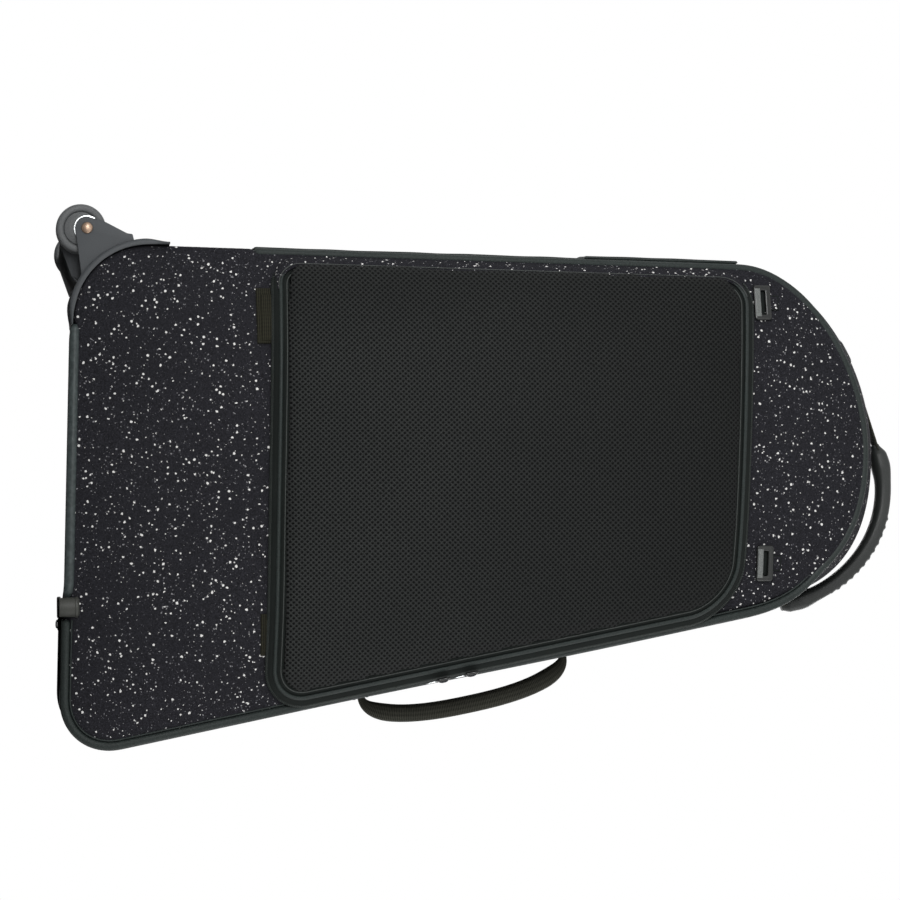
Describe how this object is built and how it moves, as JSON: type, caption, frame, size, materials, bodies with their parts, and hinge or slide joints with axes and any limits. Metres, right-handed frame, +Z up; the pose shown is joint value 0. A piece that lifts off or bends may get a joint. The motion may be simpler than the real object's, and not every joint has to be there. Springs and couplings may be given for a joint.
{
  "type": "wheeled instrument case",
  "caption": "Tall padded backpack case for a large brass instrument, with a zipped lid, a mesh panel over the strap pocket, carry handles and wheels at the wide end.",
  "frame": {"origin": "centre of the bounding box at its lowest face, where the wheels and feet stand", "axes": "+Z up along the case from the wide wheeled end to the dome, -X towards the wheels and the lid hinge, +X towards the carry handle, -Y out of the carrying back with the mesh panel"},
  "size_m": [0.5625, 0.3978, 0.9276],
  "materials": {
    "speckled_fabric": "matt black woven fabric with scattered off-white flecks",
    "satin_binding": "satin dark green-grey binding",
    "lining_fabric": "matt brushed lining",
    "foam": "foam under dark cloth",
    "mesh_fabric": "spacer mesh with small holes in a diamond lattice",
    "webbing": "ribbed webbing",
    "moulded_grey": "satin mid-dark grey moulding",
    "wheel_grey": "smooth dark grey rubber",
    "gloss_black": "glossy moulded plastic",
    "grip_rubber": "satin dark rubber",
    "coil_nylon": "nylon coil zip on tape",
    "bare_steel": "bright steel",
    "rivet_metal": "warm beige domed rivet",
    "slider_metal": "dark painted die casting"
  },
  "bodies": {
    "case": {"back_shell": "speckled_fabric", "back_lining": "lining_fabric", "edge_roll_back": "satin_binding", "skid_rail": "satin_binding", "near_foot": "satin_binding", "far_foot": "gloss_black", "zipper_back": "coil_nylon", "hinge_strip_back": "satin_binding", "wear_strip": "satin_binding", "wear_strip_upper": "satin_binding", "wheel_bracket": "moulded_grey", "axle_near": "bare_steel", "axle_far": "bare_steel", "retainer_near": "bare_steel", "retainer_far": "bare_steel", "rivet_near": "rivet_metal", "rivet_far": "rivet_metal", "panel_gusset": "satin_binding", "strap_anchor_hinge": "webbing", "strap_anchor_handle": "webbing", "shoulder_strap_hinge": "foam", "shoulder_strap_handle": "foam", "strap_loop_hinge": "gloss_black", "strap_loop_handle": "gloss_black", "handle_mount_lower": "webbing", "handle_mount_upper": "webbing", "dome_grip": "grip_rubber", "grip_strap": "webbing", "bell_pad": "foam", "bow_pad": "foam", "instrument_strap": "webbing", "strap_buckle": "gloss_black"},
    "lid": {"front_shell": "speckled_fabric", "front_lining": "lining_fabric", "zipper_front": "coil_nylon", "hinge_strip_front": "satin_binding", "edge_roll_front": "satin_binding"},
    "panel_flap": {"mesh_panel": "mesh_fabric", "panel_piping": "satin_binding"},
    "wheel_near": {"tyre_near": "wheel_grey", "hub_near": "moulded_grey"},
    "wheel_far": {"tyre_far": "wheel_grey", "hub_far": "moulded_grey"},
    "carry_handle": {"side_handle": "grip_rubber"},
    "base_slider": {"main_slider_base": "slider_metal"},
    "side_slider": {"main_slider_side": "slider_metal"},
    "side_pull": {"main_slider_side_pull": "slider_metal"},
    "lower_slider": {"panel_slider_lower": "slider_metal"},
    "lower_pull": {"panel_slider_lower_pull": "slider_metal"},
    "upper_slider": {"panel_slider_upper": "slider_metal"},
    "upper_pull": {"panel_slider_upper_pull": "slider_metal"}
  },
  "joints": [
    {"name": "lid_hinge", "type": "hinge", "parent": "case", "child": "lid", "pos_m": [-0.23917, 0.132, 0.43021], "axis": [0.0254, 0, 0.9997], "range_deg": [0, 95]},
    {"name": "panel_hinge", "type": "hinge", "parent": "case", "child": "panel_flap", "pos_m": [-0.2257, -0.1369, 0.43], "axis": [-0.0254, -0.0576, -0.998], "range_deg": [0, 110]},
    {"name": "wheel_near_spin", "type": "hinge", "parent": "case", "child": "wheel_near", "pos_m": [-0.2603, -0.132, 0.026], "axis": [0, 1, 0], "continuous": true},
    {"name": "wheel_far_spin", "type": "hinge", "parent": "case", "child": "wheel_far", "pos_m": [-0.2603, 0.103, 0.026], "axis": [0, 1, 0], "continuous": true},
    {"name": "carry_handle_swing", "type": "hinge", "parent": "case", "child": "carry_handle", "pos_m": [0.22981, 0, 0.32451], "axis": [-0.1872, 0, 0.9823], "range_deg": [-40, 40]},
    {"name": "base_slider_run", "type": "slide", "parent": "case", "child": "base_slider", "axis": [-0.9996, 0, 0.0288], "range_m": [0, 0.24]},
    {"name": "side_slider_run", "type": "slide", "parent": "case", "child": "side_slider", "axis": [0.1872, 0, -0.9823], "range_m": [-0.2, 0.25]},
    {"name": "side_pull_swing", "type": "hinge", "parent": "side_slider", "child": "side_pull", "pos_m": [0.20736, 0.132, 0.42847], "axis": [0, -1, 0], "range_deg": [0, 110]},
    {"name": "lower_slider_run", "type": "slide", "parent": "panel_flap", "child": "lower_slider", "axis": [0.1869, -0.0566, -0.9808], "range_m": [0, 0.1]},
    {"name": "lower_pull_swing", "type": "hinge", "parent": "lower_slider", "child": "lower_pull", "pos_m": [0.21313, -0.13861, 0.38852], "axis": [-0.0106, -0.9984, 0.0556], "range_deg": [0, 110]},
    {"name": "upper_slider_run", "type": "slide", "parent": "panel_flap", "child": "upper_slider", "axis": [0.1869, -0.0566, -0.9808], "range_m": [-0.2, 0]},
    {"name": "upper_pull_swing", "type": "hinge", "parent": "upper_slider", "child": "upper_pull", "pos_m": [0.20741, -0.13688, 0.41852], "axis": [-0.0106, -0.9984, 0.0556], "range_deg": [0, 110]}
  ]
}
